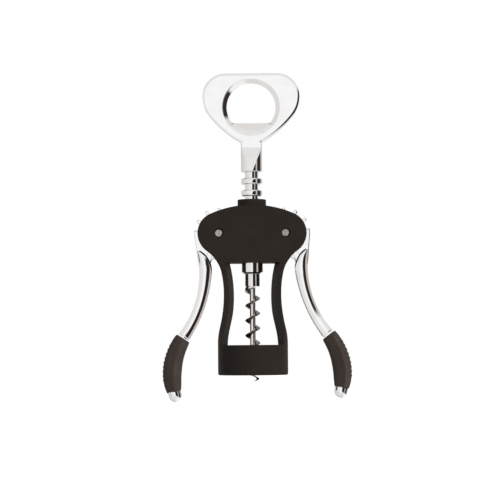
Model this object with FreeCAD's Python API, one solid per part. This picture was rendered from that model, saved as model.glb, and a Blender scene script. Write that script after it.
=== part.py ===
import FreeCAD
import Part
import math
import os

from FreeCAD import Vector

# Wing corkscrew, millimetres.  The origin is the centre of the collar's
# open mouth, +Z runs up the worm, the front faces -Y, and +X is to the right.

# Collar that sits over the bottle's mouth
collar_radius = 19.25
collar_height = 16.5
collar_wall = 1.85
collar_top_thickness = 1.6
collar_top_hole_radius = 9.0
collar_edge_round = 0.9

# Housing, boss and legs
housing_depth = 17.0
housing_edge_round = 0.9
lobe_radius = 11.6
crown_height = 93.3
boss_radius = 7.85
boss_height = 96.5
boss_edge_round = 0.5
slot_boss_wall = 2.5
waist_half_width = 15.7
waist_height = 44.6
foot_curve_share = 0.336
upper_waist_radius = 55.0
neck_curve_radius = 20.0

# Window between the legs: half widths and heights at the middle plane
window_top = 61.1
window_top_half_width = 12.3
window_shoulder = 52.3
window_shoulder_half_width = 10.7
window_waist = 43.7
window_waist_half_width = 10.2
window_shin = 32.5
window_shin_half_width = 11.05
window_ankle = 24.5
window_ankle_half_width = 12.8
window_bottom_half_width = 13.8
window_flare = 2.8
window_flare_height = 0.5

# Pivots
pin_offset = 18.3
pin_height = 77.8
pin_radius = 2.15
pin_recess_depth = 0.35
pin_sink_radius = 2.95
pin_sink_depth = 0.8
pin_end_chamfer = 0.35

# Rings of the rack and the gear that drives them
ring_pitch = 6.5
ring_radius = 5.78
ring_width = 3.25
ring_round = 0.75
neck_radius = 3.65
groove_count = 6
rack_top_land = 0.3
guide_radius = 5.95
guide_bottom = 55.55
guide_chamfer = 0.9

# Levers; the play between teeth and rings lets each one lean a little, outwards is positive
left_lever_lean = -1.7
right_lever_lean = 1.7
lever_plate_thickness = 7.8
tooth_first_angle = 32.5
tooth_step = 30.0
tooth_width = 2.05
tooth_tip_radius = 14.33
gear_root_radius = 11.0
stop_edge_height = 2.2
stop_edge_reach = 13.6
stop_edge_bevel = 0.5
web_inner_points = ((5.0, stop_edge_height), (-1.5, -10.6), (5.2, -15.1), (6.0, -20.0))
web_outer_points = ((11.7, -20.0), (12.2, -13.5), (12.9, -6.4), (13.5, -1.5))
shoulder_radius = 13.5
shoulder_reach = 17.9
shoulder_drop = 20.2
arm_start_reach = 7.9
arm_start_drop = 18.1
arm_start_heading = 1.3
arm_out_radius = 65.0
arm_out_length = 40.4
arm_back_radius = 37.6
arm_half_depth = 5.0
arm_edge_half_depth = 2.9
arm_end = 41.2
# Distance along the centre line, half width and half depth
arm_stations = (
    (-9.3, 3.85, arm_half_depth),
    (0.0, 3.55, arm_half_depth),
    (12.0, 3.04, 4.9),
    (26.0, 2.86, 4.7),
    (36.0, 3.0, 4.8),
    (arm_end, 3.35, arm_half_depth),
)
grip_start = 41.6
grip_end = 72.5
grip_half_width = 5.45
grip_half_depth = 6.7
grip_start_share = 0.74
grip_end_share = 0.7
grip_edge_share = 0.62
# Share of the grip's length, then share of its full width and depth
grip_shares = (
    (0.0, grip_start_share),
    (0.06, 0.86),
    (0.3, 0.95),
    (0.58, 1.0),
    (0.82, 0.96),
    (0.95, 0.82),
    (1.0, grip_end_share),
)
tang_half_width = 2.7
tang_half_depth = 2.9
tang_edge_share = 0.7
tang_overlap = 3.0
cap_length = 5.9
cap_half_width = 3.8
cap_half_depth = 4.6
# Share of the cap's length, then shares of its width and depth
cap_shares = ((0.0, 1.0, 1.0), (0.4, 1.0, 1.0), (0.8, 0.8, 0.82), (1.0, 0.45, 0.5))
cap_stud_radius = 1.3
cap_stud_length = 6.0

# Worm
worm_radius = 4.15
worm_core_radius = 1.5
worm_pitch = 8.15
worm_tip_pitch = 6.57
worm_first_crest = 42.05
worm_regular_turns = 3.0
worm_turns = 6.31
worm_steps_per_turn = 18
worm_root_half_width = 1.3
worm_root_share = 0.75
worm_crest_half_width = 0.28
worm_taper_turns = 0.9
worm_tail_radius_share = 0.8
worm_tail_root_share = 0.45
worm_tail_width_share = 0.5
worm_point_turns = 0.31
worm_point_radius = 0.55
worm_point_half_width = 0.1
worm_core_turns_left_off = 1.1
worm_core_tip_radius = 0.3
worm_run_out = (0.3, 0.45)
worm_run_out_rise = 0.8
worm_run_out_overlap = 0.4
worm_shank_radius = 4.12
worm_shank_bottom = 49.4
worm_stem_radius = 2.25
worm_stem_reach = 10.0

# Opener handle
handle_shank_radius = 5.83
opener_top = 166.1
opener_half_width = 26.75
opener_corner_radius = 12.7
opener_shoulder_radius = 17.0
opener_shoulder_angle = 38.0
opener_flank_radius = 58.0
opener_thickness = 5.2
opener_edge_round = 1.1
opener_hole_drop = 18.7
opener_hole_radius = 13.4
opener_lip_drop = 8.6
opener_lip_thickness = 1.4
opener_root_overlap = 0.8
blade_face_height = 124.85
blade_facet_share = 0.83
blade_overlap = 2.34
cross_pin_radius = 1.2
cross_pin_height = 4.4

# Neck guide pressed into the collar
guide_wall = 1.9
guide_web = 2.2
guide_mouth_inset = 0.6
guide_hole_radius = 4.6
guide_mouth_chamfer = 1.0

# Spacer washers
washer_radius = 5.6
washer_thickness = 0.4

# Clearances
running_clearance = 0.05
fixed_clearance = 0.02
washer_clearance = 0.1
slot_clearance = 0.47
thrust_clearance = 0.1
bore_end_clearance = 0.3

# How far cutting shapes reach past what they cut, and how near counts as equal
overshoot = 1.0
tiny = 0.01

# Sizes that follow from the ones above
pitch_radius = ring_pitch / math.radians(tooth_step)
half_depth = housing_depth / 2
rack_bore_radius = guide_radius + running_clearance
slot_half_width = lever_plate_thickness / 2 + washer_thickness + washer_clearance
collar_bore_radius = collar_radius - collar_wall
collar_bore_top = collar_height - collar_top_thickness
last_tooth_angle = tooth_first_angle + tooth_step * (groove_count - 1)
last_groove_height = pin_height - pitch_radius * math.radians(last_tooth_angle - 180)
first_groove_height = last_groove_height + ring_pitch * (groove_count - 1)
rack_top = first_groove_height + (ring_pitch - ring_width) / 2 + rack_top_land
guide_top = last_groove_height - (ring_pitch - ring_width) / 2
opener_rim_radius = opener_hole_radius + opener_thickness / 2
opener_hole_height = opener_top - opener_hole_drop
opener_corner_height = opener_top - opener_corner_radius
opener_shoulder_turn = math.radians(opener_shoulder_angle)
opener_radius_gain = opener_flank_radius - opener_shoulder_radius
opener_shoulder_reach = opener_half_width - opener_shoulder_radius
opener_flank_reach = opener_shoulder_reach - opener_radius_gain * math.cos(opener_shoulder_turn)
opener_flank_height = opener_corner_height + opener_radius_gain * math.sin(opener_shoulder_turn)
opener_root_reach = handle_shank_radius - opener_root_overlap
opener_root_turn = math.acos((opener_root_reach - opener_flank_reach) / opener_flank_radius)
opener_root_height = opener_flank_height - opener_flank_radius * math.sin(opener_root_turn)
foot_narrowing = collar_radius - waist_half_width
foot_length = waist_height - collar_height
foot_radii = (foot_narrowing ** 2 + foot_length ** 2) / (2 * foot_narrowing)
foot_turn = math.asin(foot_length / foot_radii)
foot_curve_radius = foot_radii * foot_curve_share
lower_waist_radius = foot_radii - foot_curve_radius


def box(low, high):
    size = high - low
    return Part.makeBox(size.x, size.y, size.z, low)


def upright(radius, bottom, top):
    return Part.makeCylinder(radius, top - bottom, Vector(0, 0, bottom))


def across(radius, x, z, front, back):
    # Cylinder that runs from front to back, along Y
    return Part.makeCylinder(radius, back - front, Vector(x, front, z), Vector(0, 1, 0))


def slab(wire, front, back):
    # A flat outline in the XZ plane, given thickness along Y
    placed = wire.copy()
    placed.translate(Vector(0, front, 0))
    return Part.Face(placed).extrude(Vector(0, back - front, 0))


def polygon(points):
    return Part.makePolygon(points + [points[0]])


def mirrored(shape):
    return shape.mirror(Vector(0, 0, 0), Vector(1, 0, 0))


def reversed_points(points):
    return [Vector(-p.x, p.y, p.z) for p in reversed(points)]


def curve(points):
    spline = Part.BSplineCurve()
    spline.interpolate(points)
    return spline.toShape()


def arc(first, middle, last):
    return Part.Arc(first, middle, last).toShape()


def polar(centre, radius, degrees):
    angle = math.radians(degrees)
    return centre + Vector(radius * math.cos(angle), 0, radius * math.sin(angle))


def crown_geometry():
    # The crown is one large arc that is tangent to both lobes
    rise = crown_height - lobe_radius - pin_height
    reach = (pin_offset ** 2 + rise ** 2) / (2 * rise)
    radius = reach + lobe_radius
    centre = Vector(0, 0, crown_height - radius)
    pin = Vector(pin_offset, 0, pin_height)
    direction = pin - centre
    direction.normalize()
    return centre, radius, centre + direction * radius


def direction_angle(origin, target):
    return math.degrees(math.atan2(target.z - origin.z, target.x - origin.x))


def arc_about(centre, radius, first, last):
    # Arc from one angle to the other, in degrees, the way the numbers run
    middle = (first + last) / 2
    return arc(polar(centre, radius, first), polar(centre, radius, middle), polar(centre, radius, last))


def meeting_point(centre_a, radius_a, centre_b, radius_b):
    # The lower of the two points that lie at both distances
    gap = centre_b - centre_a
    along = (gap.Length ** 2 + radius_a ** 2 - radius_b ** 2) / (2 * gap.Length)
    aside = math.sqrt(radius_a ** 2 - along ** 2)
    gap.normalize()
    normal = Vector(gap.z, 0, -gap.x)
    points = [centre_a + gap * along + normal * aside * side for side in (-1, 1)]
    return min(points, key=lambda point: point.z)


def housing_outline():
    # Every stretch is an arc that is tangent to the next one
    pin = Vector(pin_offset, 0, pin_height)
    crown_centre, crown_radius, joint = crown_geometry()
    foot_centre = Vector(collar_radius - foot_curve_radius, 0, collar_height)
    lower_centre = Vector(waist_half_width + lower_waist_radius, 0, waist_height)
    upper_centre = Vector(waist_half_width + upper_waist_radius, 0, waist_height)
    neck_centre = meeting_point(
        upper_centre,
        upper_waist_radius - neck_curve_radius,
        pin,
        lobe_radius + neck_curve_radius,
    )
    turn = math.degrees(foot_turn)
    upper_end = direction_angle(upper_centre, neck_centre) % 360
    neck_end = direction_angle(neck_centre, pin) % 360
    lobe_end = direction_angle(pin, neck_centre)
    right = [
        arc_about(pin, lobe_radius, direction_angle(pin, joint), lobe_end),
        arc_about(neck_centre, neck_curve_radius, neck_end, upper_end),
        arc_about(upper_centre, upper_waist_radius, upper_end, 180),
        arc_about(lower_centre, lower_waist_radius, 180, 180 + turn),
        arc_about(foot_centre, foot_curve_radius, turn, 0),
        Part.makeLine(Vector(collar_radius, 0, collar_height), Vector(collar_radius, 0, collar_height / 2)),
    ]
    left = [mirrored(edge) for edge in right]
    bottom = Part.makeLine(
        Vector(-collar_radius, 0, collar_height / 2),
        Vector(collar_radius, 0, collar_height / 2),
    )
    joint_angle = direction_angle(crown_centre, joint)
    crown = arc_about(crown_centre, crown_radius, 180 - joint_angle, joint_angle)
    return Part.Wire(Part.__sortEdges__([crown] + right + left + [bottom]))


def window_outline(flare, flare_height, y):
    # Right side from the top corner down to the collar, then mirrored
    bottom = collar_height - (flare_height if flare == 0 else 0)
    top = window_top + flare_height
    side = [
        Vector(window_top_half_width + flare, y, top),
        Vector(window_shoulder_half_width + flare, y, window_shoulder),
        Vector(window_waist_half_width + flare, y, window_waist),
        Vector(window_shin_half_width + flare, y, window_shin),
        Vector(window_ankle_half_width + flare, y, window_ankle),
        Vector(window_bottom_half_width + flare, y, bottom),
    ]
    mirror_side = reversed_points(side)
    edges = [
        curve(side),
        Part.makeLine(side[-1], mirror_side[0]),
        curve(mirror_side),
        Part.makeLine(mirror_side[-1], side[0]),
    ]
    return Part.Wire(edges)


def make_frame():
    body = slab(housing_outline(), -half_depth, half_depth)
    rim = [e for e in body.Edges if abs(abs(e.CenterOfMass.y) - half_depth) < tiny]
    body = body.makeFillet(housing_edge_round, rim)

    # Below the waist the legs keep inside the collar's round
    legs_room = upright(collar_radius, 0, waist_height)
    housing_room = box(
        Vector(-2 * collar_radius, -half_depth, waist_height),
        Vector(2 * collar_radius, half_depth, boss_height),
    )
    body = body.common(legs_room.fuse(housing_room))

    # The window's side walls slope in from both faces to the middle plane
    reach = half_depth + tiny
    window = Part.makeLoft(
        [
            window_outline(window_flare, window_flare_height, -reach),
            window_outline(0, 0, 0),
            window_outline(window_flare, window_flare_height, reach),
        ],
        True,
        True,
    )
    body = body.cut(window)

    collar = upright(collar_radius, 0, collar_height)
    collar = collar.makeFillet(collar_edge_round, [collar.Edges[2]])
    boss = upright(boss_radius, pin_height, boss_height)
    top_edges = [e for e in boss.Edges if e.CenterOfMass.z > boss_height - tiny]
    boss = boss.makeFillet(boss_edge_round, top_edges)
    body = body.fuse([collar, boss])

    body = body.cut(upright(collar_bore_radius, -overshoot, collar_bore_top))
    body = body.cut(upright(collar_top_hole_radius, 0, collar_height + overshoot))
    body = body.cut(upright(rack_bore_radius, window_top - overshoot, boss_height + overshoot))
    for side in (-1, 1):
        x = side * pin_offset
        slot_radius = tooth_tip_radius + slot_clearance
        body = body.cut(across(slot_radius, x, pin_height, -slot_half_width, slot_half_width))
        # Outside the boss the slot is open to the crown, so the arm's web can pass
        inner, outer = sorted((side * (boss_radius + slot_boss_wall), side * 2 * collar_radius))
        body = body.cut(
            box(
                Vector(inner, -slot_half_width, pin_height),
                Vector(outer, slot_half_width, crown_height),
            )
        )
        hole_radius = pin_radius + fixed_clearance
        body = body.cut(across(hole_radius, x, pin_height, -housing_depth, housing_depth))
        for face in (-1, 1):
            sink = Part.makeCone(
                pin_sink_radius,
                hole_radius,
                pin_sink_depth,
                Vector(x, face * half_depth, pin_height),
                Vector(0, -face, 0),
            )
            body = body.cut(sink)
    return body.removeSplitter()


def make_neck_guide():
    outer = collar_bore_radius - fixed_clearance
    inner = outer - guide_wall
    web_bottom = collar_bore_top - guide_web
    body = upright(outer, guide_mouth_inset, collar_bore_top)
    body = body.cut(upright(inner, 0, web_bottom))
    body = body.cut(upright(guide_hole_radius, 0, collar_height))
    lead_in = Part.makeCone(
        inner + guide_mouth_chamfer,
        inner,
        guide_mouth_chamfer,
        Vector(0, 0, guide_mouth_inset),
    )
    return body.cut(lead_in)


def make_pivot_pin(side):
    end = half_depth - pin_recess_depth
    pin = across(pin_radius, side * pin_offset, pin_height, -end, end)
    ends = [e for e in pin.Edges if abs(abs(e.CenterOfMass.y) - end) < tiny]
    return pin.makeChamfer(pin_end_chamfer, ends)


def make_washer(side, face):
    # Each washer lies flat against the housing's inner wall
    x = side * pin_offset
    wall = face * slot_half_width
    inner = wall - face * washer_thickness
    front, back = min(wall, inner), max(wall, inner)
    ring = across(washer_radius, x, pin_height, front, back)
    return ring.cut(across(pin_radius + running_clearance, x, pin_height, front, back))


def make_rack_sleeve():
    body = upright(neck_radius, guide_bottom, rack_top)
    guide = upright(guide_radius, guide_bottom, guide_top)
    ends = [e for e in guide.Edges if e.CenterOfMass.z < guide_bottom + tiny]
    pieces = [guide.makeChamfer(guide_chamfer, ends)]
    for index in range(groove_count - 1):
        middle = first_groove_height - ring_pitch * (index + 0.5)
        ring = upright(ring_radius, middle - ring_width / 2, middle + ring_width / 2)
        rims = [e for e in ring.Edges if abs(abs(e.CenterOfMass.z - middle) - ring_width / 2) < tiny]
        pieces.append(ring.makeFillet(ring_round, rims))
    body = body.fuse(pieces)
    bore = worm_stem_radius + running_clearance
    return body.cut(upright(bore, guide_bottom - overshoot, rack_top + overshoot)).removeSplitter()


def ramp(value, low, high):
    return min(1.0, max(0.0, (value - low) / (high - low)))


def blend(first, last, share):
    return first + (last - first) * share


def worm_height(turn):
    # Height of the flight's middle; turn 0 is the first crest on the right
    regular = min(turn, worm_regular_turns)
    tail = max(turn - worm_regular_turns, 0)
    return worm_first_crest - worm_pitch * regular - worm_tip_pitch * tail


def worm_section(turn):
    height = worm_height(turn)
    point_start = worm_turns - worm_point_turns
    taper = ramp(turn, worm_turns - worm_taper_turns, point_start)
    point = ramp(turn, point_start, worm_turns)
    tail_radius = worm_radius * worm_tail_radius_share
    tail_root = worm_radius * worm_tail_root_share
    tail_half_width = worm_root_half_width * worm_tail_width_share
    outer = blend(blend(worm_radius, tail_radius, taper), worm_point_radius, point)
    inner = blend(blend(worm_core_radius * worm_root_share, tail_root, taper), worm_point_half_width, point)
    root = blend(blend(worm_root_half_width, tail_half_width, taper), 2 * worm_point_half_width, point)
    crest = blend(worm_crest_half_width, worm_point_half_width, point)
    upper_root, upper_crest = root, crest
    run_out = ramp(-turn, *worm_run_out)
    if run_out > 0:
        # The first turn grows up into the shank's helical end
        fill = max(worm_shank_bottom + worm_run_out_overlap, height + worm_run_out_rise) - height
        upper_root = blend(root, fill, run_out)
        upper_crest = blend(crest, fill, run_out)
        # The flat steps of the flight stay just outside the round shank
        outer = worm_shank_radius / math.cos(math.pi / worm_steps_per_turn) + fixed_clearance
    angle = -2 * math.pi * turn
    direction = Vector(math.cos(angle), math.sin(angle), 0)
    corners = [
        direction * inner + Vector(0, 0, height - root),
        direction * outer + Vector(0, 0, height - crest),
        direction * outer + Vector(0, 0, height + upper_crest),
        direction * inner + Vector(0, 0, height + upper_root),
    ]
    return polygon(corners)


def make_worm():
    count = int(round((worm_turns + 1) * worm_steps_per_turn))
    turns = [-1 + (worm_turns + 1) * i / count for i in range(count + 1)]
    flight = Part.makeLoft([worm_section(t) for t in turns], True, True)
    core_end = worm_height(worm_turns - worm_core_turns_left_off)
    core = upright(worm_core_radius, core_end, worm_shank_bottom)
    core_point = Part.makeCone(worm_core_tip_radius, worm_core_radius, core_end, Vector(0, 0, 0))
    shank_top = guide_bottom - thrust_clearance
    shank = upright(worm_shank_radius, worm_shank_bottom, shank_top)
    stem = upright(worm_stem_radius, worm_shank_bottom, rack_top + worm_stem_reach)
    rod = core.fuse([core_point, shank, stem]).removeSplitter()
    body = rod.fuse(flight)
    hole = Part.makeCylinder(
        cross_pin_radius + fixed_clearance,
        4 * handle_shank_radius,
        Vector(-2 * handle_shank_radius, 0, rack_top + cross_pin_height),
        Vector(1, 0, 0),
    )
    return body.cut(hole)


def opener_outline():
    corner = Vector(opener_half_width - opener_corner_radius, 0, opener_corner_height)
    shoulder = Vector(opener_shoulder_reach, 0, opener_corner_height)
    flank = Vector(opener_flank_reach, 0, opener_flank_height)
    top = Vector(corner.x, 0, opener_top)
    root = Vector(opener_root_reach, 0, opener_root_height)
    right = [
        arc_about(corner, opener_corner_radius, 90, 0),
        arc_about(shoulder, opener_shoulder_radius, 0, -opener_shoulder_angle),
        arc_about(flank, opener_flank_radius, -opener_shoulder_angle, -math.degrees(opener_root_turn)),
    ]
    left = [mirrored(edge) for edge in right]
    top_edge = Part.makeLine(Vector(-top.x, 0, top.z), top)
    bottom_edge = Part.makeLine(root, Vector(-root.x, 0, root.z))
    return Part.Wire(Part.__sortEdges__([top_edge] + right + left + [bottom_edge]))


def make_opener_hole():
    # Round eye with a bullnosed rim; a straight lip closes its lower part
    half = opener_thickness / 2
    beyond = half + overshoot
    hole = opener_hole_radius
    rim = opener_rim_radius
    profile = Part.Wire(
        [
            Part.makeLine(Vector(0, -beyond, 0), Vector(rim, -beyond, 0)),
            Part.makeLine(Vector(rim, -beyond, 0), Vector(rim, -half, 0)),
            arc(Vector(rim, -half, 0), Vector(hole, 0, 0), Vector(rim, half, 0)),
            Part.makeLine(Vector(rim, half, 0), Vector(rim, beyond, 0)),
            Part.makeLine(Vector(rim, beyond, 0), Vector(0, beyond, 0)),
            Part.makeLine(Vector(0, beyond, 0), Vector(0, -beyond, 0)),
        ]
    )
    eye = Part.Face(profile).revolve(Vector(0, 0, 0), Vector(0, 1, 0), 360)
    eye.translate(Vector(0, 0, opener_hole_height))
    lip_height = opener_hole_height - opener_lip_drop
    above = box(
        Vector(-2 * rim, -2 * beyond, lip_height),
        Vector(2 * rim, 2 * beyond, opener_hole_height + 2 * rim),
    )
    ramp_bottom = opener_hole_height - rim
    ramp_wedge = polygon(
        [
            Vector(-2 * rim, half - opener_lip_thickness, lip_height),
            Vector(-2 * rim, -half, ramp_bottom),
            Vector(-2 * rim, -beyond, ramp_bottom),
            Vector(-2 * rim, -beyond, lip_height),
        ]
    )
    wedge = Part.Face(ramp_wedge).extrude(Vector(4 * rim, 0, 0))
    pocket = across(rim, 0, opener_hole_height, -beyond, beyond).common(wedge)
    return eye.common(above), pocket


def make_opener_handle():
    half = opener_thickness / 2
    plate = slab(opener_outline(), -half, half)
    rim = [e for e in plate.Edges if abs(abs(e.CenterOfMass.y) - half) < 0.01]
    plate = plate.makeFillet(opener_edge_round, rim)
    eye, pocket = make_opener_hole()
    plate = plate.cut(eye).cut(pocket)

    # The round shank flattens into the plate through two curved facets
    bottom = rack_top
    top = opener_root_height + blade_overlap
    shank = upright(handle_shank_radius, bottom, top)
    wide = 2 * handle_shank_radius
    middle_height = (blade_face_height + bottom) / 2
    middle_depth = handle_shank_radius * blade_facet_share
    edges = []
    for face in (-1, 1):
        low = Vector(-wide, face * handle_shank_radius, bottom)
        mid = Vector(-wide, face * middle_depth, middle_height)
        high = Vector(-wide, face * half, blade_face_height)
        end = Vector(-wide, face * half, top)
        edges += [arc(low, mid, high), Part.makeLine(high, end)]
    edges.append(
        Part.makeLine(
            Vector(-wide, -handle_shank_radius, bottom),
            Vector(-wide, handle_shank_radius, bottom),
        )
    )
    edges.append(Part.makeLine(Vector(-wide, -half, top), Vector(-wide, half, top)))
    facets = Part.Face(Part.Wire(Part.__sortEdges__(edges))).extrude(Vector(2 * wide, 0, 0))
    shank = shank.common(facets)
    body = plate.fuse(shank)
    bore = worm_stem_radius + fixed_clearance
    body = body.cut(upright(bore, bottom - overshoot, bottom + worm_stem_reach + bore_end_clearance))
    hole = Part.makeCylinder(
        cross_pin_radius + fixed_clearance,
        4 * handle_shank_radius,
        Vector(-2 * handle_shank_radius, 0, bottom + cross_pin_height),
        Vector(1, 0, 0),
    )
    return body.cut(hole).removeSplitter()


def make_cross_pin():
    length = 2 * handle_shank_radius
    pin = Part.makeCylinder(
        cross_pin_radius,
        length,
        Vector(-length / 2, 0, rack_top + cross_pin_height),
        Vector(1, 0, 0),
    )
    return pin.common(upright(handle_shank_radius - fixed_clearance, rack_top, opener_root_height))


def arm_station(distance):
    # Point and outward normal of the right lever's centre line
    start = Vector(pin_offset + arm_start_reach, 0, pin_height - arm_start_drop)
    first = math.radians(arm_start_heading)
    reached = min(distance, arm_out_length)
    heading = first + reached / arm_out_radius
    x = start.x + arm_out_radius * (math.cos(first) - math.cos(heading))
    z = start.z - arm_out_radius * (math.sin(heading) - math.sin(first))
    if distance > arm_out_length:
        turned = heading - (distance - arm_out_length) / arm_back_radius
        x += arm_back_radius * (math.cos(turned) - math.cos(heading))
        z += arm_back_radius * (math.sin(turned) - math.sin(heading))
        heading = turned
    return Vector(x, 0, z), Vector(math.cos(heading), 0, math.sin(heading))


def lever_section(distance, half_width, half_depth_here, edge_share):
    # Six-sided section with a ridge along the middle of both faces
    centre, normal = arm_station(distance)
    depth = Vector(0, 1, 0)
    edge = half_depth_here * edge_share
    corners = []
    for across_share, depth_here in ((1, -edge), (1, edge), (0, half_depth_here),
                                     (-1, edge), (-1, -edge), (0, -half_depth_here)):
        corners.append(centre + normal * (half_width * across_share) + depth * depth_here)
    return polygon(corners)


def lever_loft(stations, edge_share):
    sections = [lever_section(d, w, t, edge_share) for d, w, t in stations]
    return Part.makeLoft(sections, True, False)


def grip_envelope():
    length = grip_end - grip_start
    stations = []
    for along, share in grip_shares:
        stations.append((grip_start + length * along, grip_half_width * share, grip_half_depth * share))
    return lever_loft(stations, grip_edge_share)


def tang_envelope():
    start = arm_end - tang_overlap
    count = 4
    stations = []
    for index in range(count + 1):
        distance = start + (grip_end - start) * index / count
        stations.append((distance, tang_half_width, tang_half_depth))
    return lever_loft(stations, tang_edge_share)


def cap_stud(extra_radius, extra_length):
    point, normal = arm_station(grip_end + 2 * thrust_clearance)
    back = Vector(-normal.z, 0, normal.x)
    if back.z < 0:
        back = back * -1
    length = cap_stud_length + extra_length
    return Part.makeCylinder(cap_stud_radius + extra_radius, length, point, back)


def lever_gear():
    pin = Vector(pin_offset, 0, pin_height)
    half = lever_plate_thickness / 2
    body = across(gear_root_radius, pin.x, pin.z, -half, half)
    tip_centre = tooth_tip_radius - tooth_width / 2
    pieces = []
    for index in range(groove_count):
        angle = tooth_first_angle + tooth_step * index
        tip = polar(pin, tip_centre, angle)
        side = polar(Vector(0, 0, 0), tooth_width / 2, angle + 90)
        root = polar(pin, gear_root_radius - tooth_width, angle)
        bar = polygon([root + side, tip + side, tip - side, root - side])
        pieces.append(slab(bar, -half, half))
        pieces.append(across(tooth_width / 2, tip.x, tip.z, -half, half))
    # Web that joins the hub to the arm, with the stop edge at its top
    stop_edge_points = (
        (stop_edge_reach, stop_edge_height - stop_edge_bevel),
        (stop_edge_reach - stop_edge_bevel, stop_edge_height),
    )
    web = [pin + Vector(x, 0, z) for x, z in web_inner_points + web_outer_points + stop_edge_points]
    pieces.append(slab(polygon(web), -half, half))
    return body.fuse(pieces).removeSplitter()


def make_lever():
    arm = lever_loft(arm_stations, arm_edge_half_depth / arm_half_depth)
    # The arm's thick part starts with a rounded shoulder beyond the lobe
    pin = Vector(pin_offset, 0, pin_height)
    shoulder = pin + Vector(shoulder_reach, 0, -shoulder_drop)
    far = 2 * arm_half_depth
    corner = box(
        shoulder + Vector(-2 * shoulder_radius, -far, 0),
        shoulder + Vector(shoulder_radius, far, 3 * shoulder_radius),
    )
    corner = corner.cut(across(shoulder_radius, shoulder.x, shoulder.z, -far, far))
    arm = arm.cut(corner)
    body = lever_gear().fuse([arm, tang_envelope()])
    body = body.cut(cap_stud(fixed_clearance, bore_end_clearance))
    hole = pin_radius + running_clearance
    return body.cut(across(hole, pin.x, pin.z, -far, far)).removeSplitter()


def make_grip():
    return grip_envelope().cut(tang_envelope())


def make_end_cap():
    start = grip_end + thrust_clearance
    stations = []
    for along, width_share, depth_share in cap_shares:
        distance = start + cap_length * along
        stations.append((distance, cap_half_width * width_share, cap_half_depth * depth_share))
    cap = lever_loft(stations, grip_edge_share)
    return cap.fuse(cap_stud(0, 0)).removeSplitter()


def leaned(shape, degrees):
    turned = shape.copy()
    turned.rotate(Vector(pin_offset, 0, pin_height), Vector(0, -1, 0), degrees)
    return turned


def build_all():
    pieces = {
        "frame": make_frame(),
        "neck_guide": make_neck_guide(),
        "rack_sleeve": make_rack_sleeve(),
        "worm": make_worm(),
        "opener_handle": make_opener_handle(),
        "handle_cross_pin": make_cross_pin(),
    }
    for name, side in (("left", -1), ("right", 1)):
        pieces[name + "_pivot_pin"] = make_pivot_pin(side)
        for end, face in (("front", -1), ("back", 1)):
            pieces[name + "_washer_" + end] = make_washer(side, face)
    for kind, shape in (("lever", make_lever()), ("grip", make_grip()), ("end_cap", make_end_cap())):
        pieces["right_" + kind] = leaned(shape, right_lever_lean)
        pieces["left_" + kind] = mirrored(leaned(shape, left_lever_lean))
    return pieces


os.makedirs("parts", exist_ok=True)
for node, shape in build_all().items():
    shape.exportStep("parts/" + node + ".step")
    print(node, "solids", len(shape.Solids), "valid", shape.isValid(), "volume", round(shape.Volume, 1))
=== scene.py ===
import math

import bmesh
import bpy
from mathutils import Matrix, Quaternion, Vector


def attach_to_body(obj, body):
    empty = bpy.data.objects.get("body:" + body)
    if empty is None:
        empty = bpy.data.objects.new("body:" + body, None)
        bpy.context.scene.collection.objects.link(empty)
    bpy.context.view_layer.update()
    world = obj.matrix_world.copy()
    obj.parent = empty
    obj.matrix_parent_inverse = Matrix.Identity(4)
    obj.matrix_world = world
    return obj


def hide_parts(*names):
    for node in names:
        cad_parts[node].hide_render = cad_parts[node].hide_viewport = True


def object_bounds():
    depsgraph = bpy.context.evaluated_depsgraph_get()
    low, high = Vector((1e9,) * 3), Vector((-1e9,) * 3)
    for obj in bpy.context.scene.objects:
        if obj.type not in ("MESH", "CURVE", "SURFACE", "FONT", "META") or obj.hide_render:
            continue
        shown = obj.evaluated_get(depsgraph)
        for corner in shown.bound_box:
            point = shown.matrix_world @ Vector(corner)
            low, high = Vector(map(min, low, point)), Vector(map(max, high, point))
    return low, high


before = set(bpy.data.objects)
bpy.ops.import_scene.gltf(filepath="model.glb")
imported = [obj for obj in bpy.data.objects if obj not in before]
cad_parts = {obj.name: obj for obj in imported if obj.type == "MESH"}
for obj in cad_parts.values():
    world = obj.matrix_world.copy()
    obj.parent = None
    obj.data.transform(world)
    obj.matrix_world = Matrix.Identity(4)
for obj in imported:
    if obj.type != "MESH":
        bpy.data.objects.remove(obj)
cadBox = [list(corner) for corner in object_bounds()]
print("frame loaded:", len(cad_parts), "CAD nodes")

# Shapes are worked out in millimetres, and Blender takes metres
mm = 0.001
roundSides = 96


# A node's socket that can be used in sums, and that adds further nodes to its tree
class Wire:
    def __init__(self, tree, socket=None):
        self.tree = tree
        self.socket = socket

    def add(self, kind, settings=None, inputs=None, output=0):
        node = self.tree.nodes.new(kind)
        for name, value in (settings or {}).items():
            if name == "stops":
                ramp = node.color_ramp
                while len(ramp.elements) < len(value):
                    ramp.elements.new(0.5)
                for element, (place, colour) in zip(ramp.elements, value):
                    element.position = place
                    element.color = (*colour, 1.0)
            else:
                setattr(node, name, value)
        for key, value in (inputs or {}).items():
            if isinstance(value, Wire):
                self.tree.links.new(value.socket, node.inputs[key])
            else:
                node.inputs[key].default_value = value
        return Wire(self.tree, node.outputs[output] if node.outputs else None)

    def math(self, operation, first, second=0.0):
        return self.add("ShaderNodeMath", {"operation": operation}, {0: first, 1: second})

    def __add__(self, other):
        return self.math("ADD", self, other)

    def __radd__(self, other):
        return self.math("ADD", other, self)

    def __sub__(self, other):
        return self.math("SUBTRACT", self, other)

    def __rsub__(self, other):
        return self.math("SUBTRACT", other, self)

    def __mul__(self, other):
        return self.math("MULTIPLY", self, other)

    def __rmul__(self, other):
        return self.math("MULTIPLY", other, self)

    def __truediv__(self, other):
        return self.math("DIVIDE", self, other)

    def __rtruediv__(self, other):
        return self.math("DIVIDE", other, self)


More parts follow.
